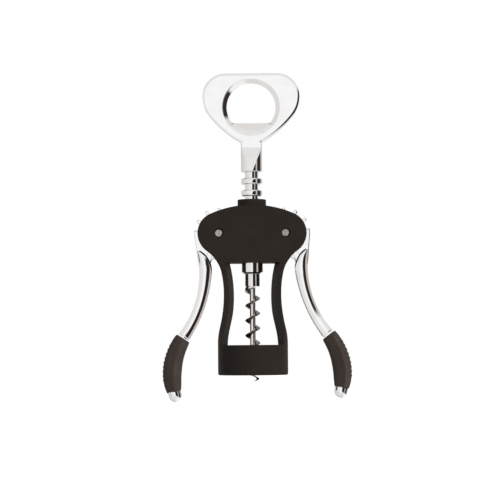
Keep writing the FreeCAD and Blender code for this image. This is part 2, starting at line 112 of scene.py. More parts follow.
def mixColours(wire, factor, first, second):
    return wire.add(
        "ShaderNodeMix",
        {"data_type": "RGBA"},
        {"Factor": factor, 6: first, 7: second},
        output=2,
    )


def noise(wire, size, detail=3.0, roughness=0.55):
    # size is the width of one patch, in metres
    place = wire.add("ShaderNodeTexCoord", output="Object")
    return wire.add(
        "ShaderNodeTexNoise",
        inputs={"Vector": place, "Scale": 1.0 / size, "Detail": detail, "Roughness": roughness},
    )


def spread(wire, value, low, high, start=0.3, end=0.7):
    return wire.add(
        "ShaderNodeMapRange",
        inputs={"Value": value, "From Min": start, "From Max": end, "To Min": low, "To Max": high},
    )


def newMaterial(name, constants):
    material = bpy.data.materials.new(name)
    material.use_nodes = True
    shader = material.node_tree.nodes["Principled BSDF"]
    for key, value in constants.items():
        shader.inputs[key].default_value = value
    return material, Wire(material.node_tree), shader


def plug(wire, shader, key):
    wire.tree.links.new(wire.socket, shader.inputs[key])


def tint(wire, shader, pattern, first, second):
    plug(mixColours(wire, spread(wire, pattern, 0.0, 1.0), first, second), shader, "Base Color")


def emboss(wire, shader, pattern, height, strength):
    bump = wire.add("ShaderNodeBump", inputs={"Strength": strength, "Distance": height, "Height": pattern})
    plug(bump, shader, "Normal")


def splitVector(wire, vector):
    parts = wire.add("ShaderNodeSeparateXYZ", inputs={0: vector}).socket.node
    return [Wire(wire.tree, parts.outputs[index]) for index in range(3)]


coat = {
    "colour": (0.0235, 0.0183, 0.0152, 1.0),
    "paleColour": (0.0290, 0.0230, 0.0194, 1.0),
    "patchSize": 0.012,
    "roughness": (0.50, 0.60),
    "specular": 0.06,
    "grainSize": 0.00032,
    "grainHeight": 0.00002,
    "grainStrength": 0.6,
}

rubber = {
    "colour": (0.060, 0.046, 0.040, 1.0),
    "paleColour": (0.076, 0.059, 0.052, 1.0),
    "patchSize": 0.009,
    "roughness": (0.55, 0.7),
    "specular": 0.12,
    "grainSize": 0.0005,
    "grainHeight": 0.00003,
    "grainStrength": 0.6,
}


def makeSoftMaterial(name, finish):
    material, wire, shader = newMaterial(name, {"Specular IOR Level": finish["specular"]})
    patches = noise(wire, finish["patchSize"])
    grain = noise(wire, finish["grainSize"], detail=2.0)
    tint(wire, shader, patches, finish["colour"], finish["paleColour"])
    plug(spread(wire, patches, *finish["roughness"]), shader, "Roughness")
    emboss(wire, shader, grain, finish["grainHeight"], finish["grainStrength"])
    return material


chromePlate = {
    "colour": (0.93, 0.93, 0.94, 1.0),
    "dullColour": (0.89, 0.885, 0.88, 1.0),
    "patchSize": 0.006,
    "roughness": (0.03, 0.07),
    "waveSize": 0.014,
    "waveHeight": 0.00002,
}

wormSteel = {
    "colour": (0.90, 0.89, 0.88, 1.0),
    "dullColour": (0.82, 0.80, 0.78, 1.0),
    "patchSize": 0.006,
    "roughness": (0.05, 0.12),
    "waveSize": 0.003,
    "waveHeight": 0.00003,
    # The flights' dark colour is painted shade, standing in for the dim reflections they show
    "flightShadeColour": (0.26, 0.225, 0.20, 1.0),
    "flightReach": (0.0017, 0.0021),
    "flightHeights": (0.003, 0.0475),
}


def flightShadeShare(wire, plate):
    # 1 on the flights, which get a painted shade, 0 on the polished core, the shank and the tip
    place = wire.add("ShaderNodeTexCoord", output="Object")
    x, y, z = splitVector(wire, place)
    reach = wire.math("SQRT", x * x + y * y)
    bottom, top = plate["flightHeights"]
    inside = wire.math("GREATER_THAN", z, bottom) * wire.math("LESS_THAN", z, top)
    low, high = plate["flightReach"]
    return inside * spread(wire, reach, 0.0, 1.0, start=low, end=high)


def makeChromeMaterial(name, plate):
    material, wire, shader = newMaterial(name, {"Metallic": 1.0})
    patches = noise(wire, plate["patchSize"])
    waves = noise(wire, plate["waveSize"], detail=1.0)
    colour = mixColours(wire, spread(wire, patches, 0.0, 1.0), plate["colour"], plate["dullColour"])
    # The worm's flights get a painted shade: a much darker base colour than the core and shank
    if "flightShadeColour" in plate:
        colour = mixColours(wire, flightShadeShare(wire, plate), colour, plate["flightShadeColour"])
    plug(colour, shader, "Base Color")
    plug(spread(wire, patches, *plate["roughness"]), shader, "Roughness")
    emboss(wire, shader, waves, plate["waveHeight"], 1.0)
    return material


pinSteel = {
    "colour": (0.62, 0.59, 0.58, 1.0),
    "dullColour": (0.34, 0.31, 0.30, 1.0),
    "roughness": (0.28, 0.5),
    "dentSize": 0.0011,
    "dentHeight": 0.0001,
}


def makePinMaterial():
    material, wire, shader = newMaterial("pinSteel", {"Metallic": 1.0})
    dents = noise(wire, pinSteel["dentSize"])
    tint(wire, shader, dents, pinSteel["dullColour"], pinSteel["colour"])
    plug(spread(wire, dents, *pinSteel["roughness"]), shader, "Roughness")
    emboss(wire, shader, dents, pinSteel["dentHeight"], 1.0)
    return material


plastic = {
    "guideColour": (0.018, 0.016, 0.015, 1.0),
    "washerColour": (0.72, 0.70, 0.65, 1.0),
    "shade": 0.8,
    "roughness": (0.42, 0.55),
    "specular": 0.4,
    "grainSize": 0.0004,
    "grainHeight": 0.00001,
    "grainStrength": 0.5,
}


def makePlasticMaterial(name, colour):
    material, wire, shader = newMaterial(name, {"Specular IOR Level": plastic["specular"]})
    grain = noise(wire, plastic["grainSize"])
    shade = tuple(plastic["shade"] * channel for channel in colour[:3]) + (1.0,)
    tint(wire, shader, grain, colour, shade)
    plug(spread(wire, grain, *plastic["roughness"]), shader, "Roughness")
    emboss(wire, shader, grain, plastic["grainHeight"], plastic["grainStrength"])
    return material


frameCoat = makeSoftMaterial("frameCoat", coat)
chrome = makeChromeMaterial("chrome", chromePlate)
wormPlate = makeChromeMaterial("wormPlate", wormSteel)
gripRubber = makeSoftMaterial("gripRubber", rubber)
pinMaterial = makePinMaterial()
guidePlastic = makePlasticMaterial("guidePlastic", plastic["guideColour"])
washerNylon = makePlasticMaterial("washerNylon", plastic["washerColour"])
print("materials made")


def ease(share):
    share = min(1.0, max(0.0, share))
    return share * share * (3 - 2 * share)


def along(table, place):
    # Smooth curve through the table's (place, value) pairs
    if place <= table[0][0]:
        return table[0][1]
    for index in range(len(table) - 1):
        low, high = table[index], table[index + 1]
        if place <= high[0]:
            before = table[max(index - 1, 0)]
            after = table[min(index + 2, len(table) - 1)]
            step = high[0] - low[0]
            share = (place - low[0]) / step
            inSlope = (high[1] - before[1]) / (high[0] - before[0])
            outSlope = (after[1] - low[1]) / (after[0] - low[0])
            square, cube = share ** 2, share ** 3
            start = (2 * cube - 3 * square + 1) * low[1] + (cube - 2 * square + share) * step * inSlope
            return start + (3 * square - 2 * cube) * high[1] + (cube - square) * step * outSlope
    return table[-1][1]


def roundedRing(count, power):
    # Points of a unit superellipse, from (1, 0) towards (0, 1)
    points = []
    for index in range(count):
        angle = 2 * math.pi * index / count
        c, s = math.cos(angle), math.sin(angle)
        reach = (abs(c) ** power + abs(s) ** power) ** (-1 / power)
        points.append((reach * c, reach * s))
    return points


def skin(bm, rings, closed=False):
    # Quads between rings of points; a closed skin joins its last ring to its first, others have caps
    rows = [[bm.verts.new(Vector(point) * mm) for point in ring] for ring in rings]
    count = len(rows[0])
    following = rows[1:] + rows[:1] if closed else rows[1:]
    for low, high in zip(rows, following):
        for index in range(count):
            after = (index + 1) % count
            bm.faces.new((low[index], low[after], high[after], high[index]))
    if closed:
        return
    for row in (rows[0], rows[-1]):
        middle = bm.verts.new(sum((v.co for v in row), Vector()) / count)
        for index in range(count):
            bm.faces.new((row[index], row[(index + 1) % count], middle))


def placeSide(bm, side):
    # Turns a lever's piece about its pin by the play in its teeth, and mirrors it for the left
    pinX, pinZ = lever["pin"][0] * mm, lever["pin"][1] * mm
    turn = math.radians(lever["lean"][side])
    for vertex in bm.verts:
        x, z = vertex.co.x - pinX, vertex.co.z - pinZ
        vertex.co.x = pinX + x * math.cos(turn) - z * math.sin(turn)
        vertex.co.z = pinZ + x * math.sin(turn) + z * math.cos(turn)
        if side == "left":
            vertex.co.x = -vertex.co.x


def finishMesh(name, bm, material, side=None, sharpAngle=35):
    if side:
        placeSide(bm, side)
    bmesh.ops.recalc_face_normals(bm, faces=bm.faces)
    mesh = bpy.data.meshes.new(name)
    bm.to_mesh(mesh)
    bm.free()
    mesh.shade_smooth()
    # Faces that look straight to the front or the back stay flat
    for polygon in mesh.polygons:
        polygon.use_smooth = abs(polygon.normal.y) < 0.99999
    mesh.set_sharp_from_angle(angle=math.radians(sharpAngle))
    mesh.materials.append(material)
    piece = bpy.data.objects.new(name, mesh)
    bpy.context.scene.collection.objects.link(piece)
    return piece


def attach(piece, body, slotName, *nodes):
    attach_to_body(piece, body)
    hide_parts(*nodes)


def rayLength(outline, centre, angle):
    # How far the outline's farthest crossing lies from the centre, in one direction
    dx, dz = math.cos(angle), math.sin(angle)
    reach = 0.0
    for (ax, az), (bx, bz) in zip(outline, outline[1:] + outline[:1]):
        ax, az, bx, bz = ax - centre[0], az - centre[1], bx - centre[0], bz - centre[1]
        ex, ez = bx - ax, bz - az
        cross = dx * ez - dz * ex
        if abs(cross) < 1e-12:
            continue
        distance = (ax * ez - az * ex) / cross
        share = (ax * dz - az * dx) / cross
        if 0 <= share <= 1 and distance > reach:
            reach = distance
    return reach


def arcPoints(centre, radius, first, last, count):
    points = []
    for index in range(count + 1):
        angle = math.radians(first + (last - first) * index / count)
        points.append((centre[0] + radius * math.cos(angle), centre[1] + radius * math.sin(angle)))
    return points


def quarterRound(radius):
    # Place and inset along a rounded end, from its face to its side
    leans = [math.radians(degrees) for degrees in range(0, 91, 15)]
    return [(radius * (1 - math.cos(lean)), radius * (1 - math.sin(lean))) for lean in leans]


def edgeNormals(points):
    # Outward directions of a closed outline that runs anticlockwise
    normals = []
    for index in range(len(points)):
        before, after = points[index - 1], points[(index + 1) % len(points)]
        dx, dz = after[0] - before[0], after[1] - before[1]
        size = math.hypot(dx, dz)
        normals.append((dz / size, -dx / size))
    return normals


# Lever, in millimetres, for the right side
lever = {
    "pin": (18.3, 77.8),
    "lean": {"left": -1.7, "right": 1.7},
    "start": (7.9, -18.1),
    "startHeading": 1.3,
    "outRadius": 65.0,
    "outLength": 40.4,
    "backRadius": 37.6,
    "halfWidth": ((-12, 3.85), (0, 3.53), (12, 3.02), (26, 2.84), (36, 2.98), (41.2, 3.3)),
    "halfDepth": ((-12, 5.0), (0, 5.0), (12, 4.9), (26, 4.7), (36, 4.8), (41.2, 5.0)),
    "innerSection": ((3, 14.0), (22.5, 5.4), (25, 3.0), (30, 12.1), (31, 0.05), (86, 0.25)),
    "outerSection": ((3, 14.0), (22.5, 3.7), (25, 3.0), (30, 13.8), (31, 0.05), (86, 0.25)),
    "shoulderSection": ((3, 14.0), (30, 1.5), (45, 0.6), (51, 7.5), (86, 0.3)),
    "flatShift": 0.10,
    "firstRing": -9.3,
    "fineSpacing": 0.12,
    "fineRings": 62,
    "spacing": 0.7,
    "end": 41.2,
    "endGap": 1.2,
    "leastWidth": 0.05,
    "neckDepth": 0.45,
    "neckLength": 0.7,
    "neckGap": 0.3,
    "neckSteps": ((-0.25, 0.0), (-0.08, 0.1), (0.0, 0.4), (0.1, 1.0)),
    "shoulder": (17.9, -20.2),
    "shoulderRadius": 13.5,
    "plateHalfDepth": 3.9,
    "plateBevel": 0.42,
    "plateMargin": 0.1,
    "plateRays": 900,
    "bevelLeans": (0, 30, 60, 90),
    "hubRadius": 11.0,
    "boreRadius": 2.2,
    "toothTip": 14.0,
    "toothWidth": 2.05,
    "toothPoints": 14,
    "toothNearness": 0.98,
    "toothAngles": [32.5 + 30 * k for k in range(6)],
    "web": (
        (5.0, 2.2), (-1.5, -10.6), (5.2, -15.1), (6.0, -19.0), (11.4, -19.0),
        (12.2, -13.5), (12.9, -6.4), (13.5, -1.5), (13.6, 1.7), (13.1, 2.2),
    ),
}


def leverStation(distance):
    # Point and outward direction of the lever's centre line
    first = math.radians(lever["startHeading"])
    reached = min(distance, lever["outLength"])
    heading = first + reached / lever["outRadius"]
    x = lever["pin"][0] + lever["start"][0] + lever["outRadius"] * (math.cos(first) - math.cos(heading))
    z = lever["pin"][1] + lever["start"][1] - lever["outRadius"] * (math.sin(heading) - math.sin(first))
    if distance > lever["outLength"]:
        turned = heading - (distance - lever["outLength"]) / lever["backRadius"]
        x += lever["backRadius"] * (math.cos(turned) - math.cos(heading))
        z += lever["backRadius"] * (math.sin(turned) - math.sin(heading))
        heading = turned
    return Vector((x, 0, z)), Vector((math.cos(heading), 0, math.sin(heading)))


def leverRing(distance, inner, outer, halfDepth, power, count=72):
    centre, outward = leverStation(distance)
    ring = []
    for across, deep in roundedRing(count, power):
        point = centre + outward * ((inner + outer) / 2 + across * (outer - inner) / 2)
        ring.append((point.x, -deep * halfDepth, point.z))
    return ring


def softProfile(arcs, stepDegrees=5):
    # Inset and depth along an edge that turns through each arc's angle with its radius
    points, inset, depth, before = [(0.0, 0.0)], 0.0, 0.0, 0.0
    for degrees, radius in arcs:
        last = math.radians(degrees)
        count = max(1, math.ceil((last - before) / math.radians(stepDegrees)))
        for step in range(1, count + 1):
            lean = before + (last - before) * step / count
            points.append((
                inset + radius * (math.sin(lean) - math.sin(before)),
                depth + radius * (math.cos(before) - math.cos(lean)),
            ))
        inset, depth = points[-1]
        before = last
    return points


def edgeDrop(profile, inset):
    # Depth below the face at one distance from the edge
    place = profile[-1][0] - inset
    if place <= 0:
        return 0.0
    for (ax, ad), (bx, bd) in zip(profile, profile[1:]):
        if place <= bx:
            return ad + (bd - ad) * (place - ax) / (bx - ax)
    return profile[-1][1]


def armRing(distance, inner, outer, halfDepth, profiles):
    centre, outward = leverStation(distance)
    middle = (inner + outer) / 2 + lever["flatShift"] * (outer - inner) / 2
    shoulderProfile = softProfile(lever["shoulderSection"])
    arcCentre = Vector((lever["pin"][0] + lever["shoulder"][0], 0, lever["pin"][1] + lever["shoulder"][1]))
    front = []
    for profile, edge in zip(profiles, (inner, outer)):
        total = profile[-1][0]
        scale = min(1.0, abs(middle - edge) / total)
        towards = 1 if edge == inner else -1
        row = []
        for inset, unused in profile:
            across = edge + towards * (total - inset) * scale
            point = centre + outward * across
            drop = edgeDrop(profile, total - inset) * scale
            if point.z > arcCentre.z:
                reach = lever["shoulderRadius"] - (point - arcCentre).length
                drop = max(drop, edgeDrop(shoulderProfile, max(reach, 0.0)))
            row.append((point.x, -halfDepth + drop, point.z))
        front += row[::-1] if edge == inner else row
    return front + [(x, -y, z) for x, y, z in front[::-1]]


def makeArm(bm):
    pinX, pinZ = lever["pin"]
    profiles = [softProfile(lever[key]) for key in ("innerSection", "outerSection")]
    rings = []
    distances = [lever["firstRing"] + lever["fineSpacing"] * k for k in range(lever["fineRings"])]
    while distances[-1] < lever["end"] - lever["endGap"]:
        distances.append(distances[-1] + lever["spacing"])
    neck = lever["end"] - lever["neckLength"]
    steps = [(distance, 0.0) for distance in distances if distance < neck - lever["neckGap"]]
    steps += [(neck + offset, narrowing) for offset, narrowing in lever["neckSteps"]]
    steps.append((lever["end"], 1.0))
    for distance, narrowing in steps:
        centre = leverStation(distance)[0]
        cut = narrowing * lever["neckDepth"]
        outer = along(lever["halfWidth"], distance) - cut
        inner = -outer
        rise = centre.z - pinZ - lever["shoulder"][1]
        if rise > 0:
            half = math.sqrt(max(0.0, lever["shoulderRadius"] ** 2 - rise ** 2))
            edge = pinX + lever["shoulder"][0] - half - centre.x
            inner = min(max(inner, edge), outer - lever["leastWidth"])
        rings.append(armRing(distance, inner, outer, along(lever["halfDepth"], distance) - cut, profiles))
    skin(bm, rings)


def makeGearPlate(bm):
    # Rings from the bore over the front, round the toothed edge and over the back to the bore
    pin = lever["pin"]
    teeth = []
    for degrees in lever["toothAngles"]:
        angle = math.radians(degrees)
        ux, uz = math.cos(angle), math.sin(angle)
        half = lever["toothWidth"] / 2
        tip = lever["toothTip"] - half
        outline = arcPoints((ux * tip, uz * tip), half, degrees - 90, degrees + 90, lever["toothPoints"])
        outline += [(-uz * half, ux * half), (uz * half, -ux * half)]
        teeth.append(outline)
    rays = lever["plateRays"]
    angles = [2 * math.pi * k / rays for k in range(rays)]
    outline = []
    for angle in angles:
        reach = max(lever["hubRadius"], rayLength(lever["web"], (0, 0), angle))
        for degrees, tooth in zip(lever["toothAngles"], teeth):
            if math.cos(angle - math.radians(degrees)) > lever["toothNearness"]:
                reach = max(reach, rayLength(tooth, (0, 0), angle))
        outline.append((pin[0] + reach * math.cos(angle), pin[1] + reach * math.sin(angle)))
    normals = edgeNormals(outline)
    bevel, depth, bore = lever["plateBevel"], lever["plateHalfDepth"], lever["boreRadius"]
    margin = bevel + lever["plateMargin"]
    boreEdge = [(pin[0] + bore * math.cos(angle), pin[1] + bore * math.sin(angle)) for angle in angles]
    inside = [(x - nx * margin, z - nz * margin) for (x, z), (nx, nz) in zip(outline, normals)]
    rings = [[(x, -depth, z) for x, z in boreEdge], [(x, -depth, z) for x, z in inside]]
    leans = [math.radians(degrees) for degrees in lever["bevelLeans"]]
    for face, order in ((-1, leans), (1, leans[::-1])):
        for lean in order:
            inset = bevel * (1 - math.sin(lean))
            y = face * (depth - bevel * (1 - math.cos(lean)))
            rings.append([(x - nx * inset, y, z - nz * inset) for (x, z), (nx, nz) in zip(outline, normals)])
    rings += [[(x, depth, z) for x, z in inside], [(x, depth, z) for x, z in boreEdge]]
    skin(bm, rings, closed=True)


def makeLever(side):
    bm = bmesh.new()
    makeArm(bm)
    makeGearPlate(bm)
    piece = finishMesh(side + "LeverChrome", bm, chrome, side=side, sharpAngle=30)
    attach(piece, side + "_lever", "chrome", side + "_lever")


grip = {
    "start": 41.75,
    "end": 72.5,
    "halfWidth": ((0, 4.0), (0.05, 4.4), (0.3, 4.85), (0.58, 5.15), (0.82, 4.9), (0.95, 4.3), (1, 3.8)),
    "halfDepth": ((0, 5.2), (0.05, 5.75), (0.3, 6.3), (0.58, 6.6), (0.82, 6.4), (0.95, 5.7), (1, 5.0)),
    "ridge": 0.42,
    "ridgePlace": {"left": -0.18, "right": 0.3},
    "ridgeSoftness": 0.04,
    "edgePower": 5.0,
    "endRound": 0.5,
    "stations": 48,
}


def gripRing(distance, halfWidth, halfDepth, ridgePlace, count=160):
    # Two flat facets meet in a soft ridge on the front and on the back
    centre, outward = leverStation(distance)
    soft = grip["ridgeSoftness"]
    ring = []
    for across, deep in roundedRing(count, grip["edgePower"]):
        slope = math.sqrt((across - ridgePlace) ** 2 + soft ** 2) - soft
        point = centre + outward * (across * halfWidth)
        ring.append((point.x, -deep * halfDepth * (1 - grip["ridge"] * slope), point.z))
    return ring


def makeGrip(side):
    bm = bmesh.new()
    length = grip["end"] - grip["start"]
    corner = grip["endRound"]
    rim = quarterRound(corner)
    parts = grip["stations"]
    stations = rim + [(corner + (length - 2 * corner) * k / parts, 0.0) for k in range(1, parts)]
    stations += [(length - place, inset) for place, inset in reversed(rim)]
    loops = []
    for place, inset in stations:
        width = along(grip["halfWidth"], place / length) - inset
        depth = along(grip["halfDepth"], place / length) - inset
        loops.append(gripRing(grip["start"] + place, width, depth, grip["ridgePlace"][side]))
    skin(bm, loops)
    piece = finishMesh(side + "GripRubber", bm, gripRubber, side=side, sharpAngle=50)
    attach(piece, side + "_lever", "grip_rubber", side + "_grip")


# Bright tip below the grip
cap = {
    "start": 72.1,
    "end": 78.1,
    "halfWidth": 3.7,
    "halfDepth": 4.5,
    "power": 2.5,
    "roundShare": 0.62,
    "tipShare": 0.25,
}


def makeCap(side):
    bm = bmesh.new()
    length = cap["end"] - cap["start"]
    straight = 1 - cap["roundShare"]
    places = [(0.0, 1.0), (straight, 1.0)]
    for degrees in range(5, 86, 5):
        lean = math.radians(degrees)
        if math.cos(lean) > cap["tipShare"]:
            places.append((straight + cap["roundShare"] * math.sin(lean), math.cos(lean)))
    loops = []
    for place, share in places:
        width, depth = cap["halfWidth"] * share, cap["halfDepth"] * share
        loops.append(leverRing(cap["start"] + place * length, -width, width, depth, cap["power"]))
    skin(bm, loops)
    piece = finishMesh(side + "EndCap", bm, chrome, side=side, sharpAngle=60)
    attach(piece, side + "_lever", "chrome", side + "_end_cap")


for side in ("left", "right"):
    makeLever(side)
    makeGrip(side)
    makeCap(side)
print("levers, grips and caps made")


def newTree(name, inputs):
    tree = bpy.data.node_groups.new(name, "GeometryNodeTree")
    tree.interface.new_socket(name="Geometry", in_out="OUTPUT", socket_type="NodeSocketGeometry")
    for label, kind in inputs:
        tree.interface.new_socket(name=label, in_out="INPUT", socket_type="NodeSocket" + kind)
    source = tree.nodes.new("NodeGroupInput")
    return Wire(tree), {label: Wire(tree, source.outputs[label]) for label, kind in inputs}


def endTree(wire, parts, material):
    joined = wire.tree.nodes.new("GeometryNodeJoinGeometry")
    for part in parts:
        wire.tree.links.new(part.socket, joined.inputs[0])
    whole = wire.add("GeometryNodeRealizeInstances", inputs={0: Wire(wire.tree, joined.outputs[0])})
    finished = wire.add("GeometryNodeSetMaterial", inputs={"Geometry": whole, "Material": material})
    wire.add("NodeGroupOutput", inputs={0: finished})


def vectorOf(wire, x, y, z):
    return wire.add("ShaderNodeCombineXYZ", inputs={0: x, 1: y, 2: z})


def splitPlace(wire):
    return splitVector(wire, wire.add("GeometryNodeInputPosition"))


def bake(name, tree, values, sharpAngle, side=None):
    # Runs the tree once and keeps its result as a plain mesh
    holder = bpy.data.objects.new(name, bpy.data.meshes.new(name))
    bpy.context.scene.collection.objects.link(holder)
    modifier = holder.modifiers.new("build", "NODES")
    modifier.node_group = tree
    for item in tree.interface.items_tree:
        if item.in_out == "INPUT":
            modifier[item.identifier] = values[item.name]
    graph = bpy.context.evaluated_depsgraph_get()
    mesh = bpy.data.meshes.new_from_object(holder.evaluated_get(graph), depsgraph=graph)
    holder.modifiers.clear()
    bm = bmesh.new()
    bm.from_mesh(mesh)
    if side:
        placeSide(bm, side)
    bmesh.ops.recalc_face_normals(bm, faces=bm.faces)
    bm.to_mesh(mesh)
    bm.free()
    mesh.shade_smooth()
    mesh.set_sharp_from_angle(angle=math.radians(sharpAngle))
    holder.data = mesh
    return holder


# Ribs across the grip's outer edge
ribs = {
    "Count": 9,
    "First Place": 48.2,
    "Pitch": 2.2,
    "Half Width": 4.93,
    "Half Depth": 6.52,
    "Wrap Angle": 80.0,
    "Rib Radius": 0.52,
    "Widest Place": 59.6,
    "Narrowing": 0.0034,
    "Slices": 26,
    "Sides": 12,
    "End Taper": 0.75,
    "Taper Power": 5.0,
}


def makeRibTree():
    wire, value = newTree("gripRibs", (
        ("Count", "Int"), ("First Angle", "Float"), ("Angle Step", "Float"), ("Bend Radius", "Float"),
        ("Bend Centre", "Vector"), ("Half Width", "Float"), ("Half Depth", "Float"),
        ("Wrap Angle", "Float"), ("Edge Power", "Float"), ("Ridge", "Float"), ("Ridge Place", "Float"),
        ("Rib Radius", "Float"), ("Widest Index", "Float"), ("Narrowing", "Float"), ("Slices", "Int"),
        ("Material", "Material"),
    ))
    # One rib follows the grip's outer edge; its copies turn about the centre of the lever's bend
    line = wire.add("GeometryNodeCurvePrimitiveLine", inputs={0: (0.0, 0.0, -1.0), 1: (0.0, 0.0, 1.0)})
    cut = wire.add("GeometryNodeResampleCurve", inputs={"Curve": line, "Count": value["Slices"]})
    along01 = splitPlace(wire)[2]
    turn = along01 * value["Wrap Angle"]
    power = 2 / value["Edge Power"]
    across = wire.math("POWER", wire.math("COSINE", turn), power)
    sine = wire.math("SINE", turn)
    deep = wire.math("SIGN", sine) * wire.math("POWER", wire.math("ABSOLUTE", sine), power)
    fromRidge = wire.math("ABSOLUTE", across - value["Ridge Place"])
    depth = deep * value["Half Depth"] * (1 - value["Ridge"] * fromRidge)
    bent = wire.add("GeometryNodeSetPosition", inputs={
        "Geometry": cut,
        "Position": vectorOf(wire, value["Bend Radius"] + across * value["Half Width"], depth, 0.0),
    })
    spline = wire.add("GeometryNodeSplineParameter")
    end = wire.math("ABSOLUTE", spline * 2 - 1)
    taper = 1 - ribs["End Taper"] * wire.math("POWER", end, ribs["Taper Power"])
    profile = wire.add("GeometryNodeCurvePrimitiveCircle", inputs={
        "Resolution": ribs["Sides"], "Radius": value["Rib Radius"],
    })
    rib = wire.add("GeometryNodeCurveToMesh", inputs={
        0: bent, 1: profile, "Scale": taper, "Fill Caps": True,
    })
    points = wire.add("GeometryNodeMeshLine", inputs={
        "Count": value["Count"], "Start Location": value["Bend Centre"], "Offset": (0.0, 0.0, 0.0),
    })
    index = wire.add("GeometryNodeInputIndex")
    swing = value["Angle Step"] * index - value["First Angle"]
    copies = wire.add("GeometryNodeInstanceOnPoints", inputs={
        "Points": points, "Instance": rib, "Rotation": vectorOf(wire, 0.0, swing, 0.0),
    })
    # The grip narrows towards both ends, so the first and last ribs lie further in
    offset = index - value["Widest Index"]
    inwards = offset * offset * value["Narrowing"] * -1
    placed = wire.add("GeometryNodeTranslateInstances", inputs={
        "Instances": copies, "Translation": vectorOf(wire, inwards, 0.0, 0.0), "Local Space": True,
    })
    endTree(wire, [placed], value["Material"])
    return wire.tree


def makeRibs(side, tree):
    bendStart, outward = leverStation(lever["outLength"])
    radius = lever["backRadius"]
    startAngle = math.radians(lever["startHeading"]) + lever["outLength"] / lever["outRadius"]
    values = {
        "Count": ribs["Count"],
        "First Angle": startAngle - (ribs["First Place"] - lever["outLength"]) / radius,
        "Angle Step": ribs["Pitch"] / radius,
        "Bend Radius": radius * mm,
        "Bend Centre": (bendStart - outward * radius) * mm,
        "Half Width": ribs["Half Width"] * mm,
        "Half Depth": ribs["Half Depth"] * mm,
        "Wrap Angle": math.radians(ribs["Wrap Angle"]),
        "Edge Power": grip["edgePower"],
        "Ridge": grip["ridge"],
        "Ridge Place": grip["ridgePlace"][side],
        "Rib Radius": ribs["Rib Radius"] * mm,
        "Widest Index": (ribs["Widest Place"] - ribs["First Place"]) / ribs["Pitch"],
        "Narrowing": ribs["Narrowing"] * ribs["Pitch"] ** 2 * mm,
        "Slices": ribs["Slices"],
        "Material": gripRubber,
    }
    piece = bake(side + "GripRibs", tree, values, 60, side=side)
    attach(piece, side + "_lever", "grip_rubber", side + "_grip")


ribTree = makeRibTree()
for side in ("left", "right"):
    makeRibs(side, ribTree)
print("grip ribs made")


rack = {
    "Ring Count": 5,
    "First Ring": 80.5,
    "Ring Pitch": 6.503,
    "Ring Radius": 5.78,
    "Ring Height": 3.4,
    "Ring Wall": 3.0,
    "Ring Round": 0.85,
    "Neck Radius": 3.65,
    "Neck Bottom": 75.6,
    "Neck Top": 111.6,
    "Guide Radius": 5.95,
    "Guide Bottom": 55.55,
    "Guide Top": 75.63,
    "Guide Bevel": 0.9,
}


def tube(wire, radius, bottom, top):
    shape = wire.add("GeometryNodeMeshCylinder", inputs={
        "Vertices": roundSides, "Radius": radius, "Depth": top - bottom,
    })
    return wire.add("GeometryNodeTransform", inputs={
        "Geometry": shape, "Translation": vectorOf(wire, 0.0, 0.0, (top + bottom) / 2),
    })


def makeRack():
    kinds = [("Ring Count", "Int")] + [(label, "Float") for label in rack if label != "Ring Count"]
    wire, value = newTree("rackRings", kinds + [("Material", "Material")])
    section = wire.add("GeometryNodeCurvePrimitiveQuadrilateral", inputs={
        "Width": value["Ring Wall"], "Height": value["Ring Height"],
    })
    soft = wire.add("GeometryNodeFilletCurve", {"mode": "POLY"}, {
        "Curve": section, "Count": 8, "Radius": value["Ring Round"],
    })
    circle = wire.add("GeometryNodeCurvePrimitiveCircle", inputs={
        "Resolution": roundSides, "Radius": value["Ring Radius"] - value["Ring Wall"] / 2,
    })
    ring = wire.add("GeometryNodeCurveToMesh", inputs={0: circle, 1: soft})
    points = wire.add("GeometryNodeMeshLine", inputs={
        "Count": value["Ring Count"],
        "Start Location": vectorOf(wire, 0.0, 0.0, value["First Ring"]),
        "Offset": vectorOf(wire, 0.0, 0.0, value["Ring Pitch"]),
    })
    rings = wire.add("GeometryNodeInstanceOnPoints", inputs={"Points": points, "Instance": ring})
    neck = tube(wire, value["Neck Radius"], value["Neck Bottom"], value["Neck Top"])
    shoulder = value["Guide Bottom"] + value["Guide Bevel"]
    guide = tube(wire, value["Guide Radius"], shoulder, value["Guide Top"])
    cone = wire.add("GeometryNodeMeshCone", inputs={
        "Vertices": roundSides, "Radius Top": value["Guide Radius"], "Depth": value["Guide Bevel"],
        "Radius Bottom": value["Guide Radius"] - value["Guide Bevel"],
    })
    bevel = wire.add("GeometryNodeTransform", inputs={
        "Geometry": cone, "Translation": vectorOf(wire, 0.0, 0.0, value["Guide Bottom"]),
    })
    endTree(wire, [rings, neck, guide, bevel], value["Material"])
    sizes = {label: size if label == "Ring Count" else size * mm for label, size in rack.items()}
    piece = bake("ringedRack", wire.tree, {**sizes, "Material": chrome}, 40)
    attach(piece, "rack", "chrome", "rack_sleeve")


makeRack()
print("rack made")


worm = {
    "Radius": 4.15,
    "Core Radius": 1.6,
    "Pitch": 8.15,
    "Tip Pitch": 6.57,
    "Regular Turns": 3.0,
    "First Turn": -1.0,
    "Last Turn": 6.31,
    "First Crest": 42.05,
    "Root Half Width": 1.3,
    "Crest Half Width": 0.28,
    "Tail Radius": 3.32,
    "Tail Root": 1.87,
    "Tail Half Width": 0.65,
    "Taper Start": 5.1,
    "Taper End": 6.0,
    "Point Radius": 0.55,
    "Point Half Width": 0.1,
    "Core Bottom": 8.4,
    "Shank Radius": 4.12,
    "Shank Bottom": 48.7,
    "Shank Top": 55.5,
    "Run Out Start": 0.3,
    "Run Out End": 0.45,
    "Run Out Overlap": 0.4,
    "Core Overlap": 1.0,
    "Core Tip Share": 0.2,
    "Buried Share": 0.75,
    "Point Outside": 1.2,
    "Point Inside": 1.0,
    "Fullness": 0.6,
    "Merge Distance": 0.002,
    "Steps": 560,
    "Rows": 33,
}


def blendTo(first, second, share):
    return first + share * (second - first)


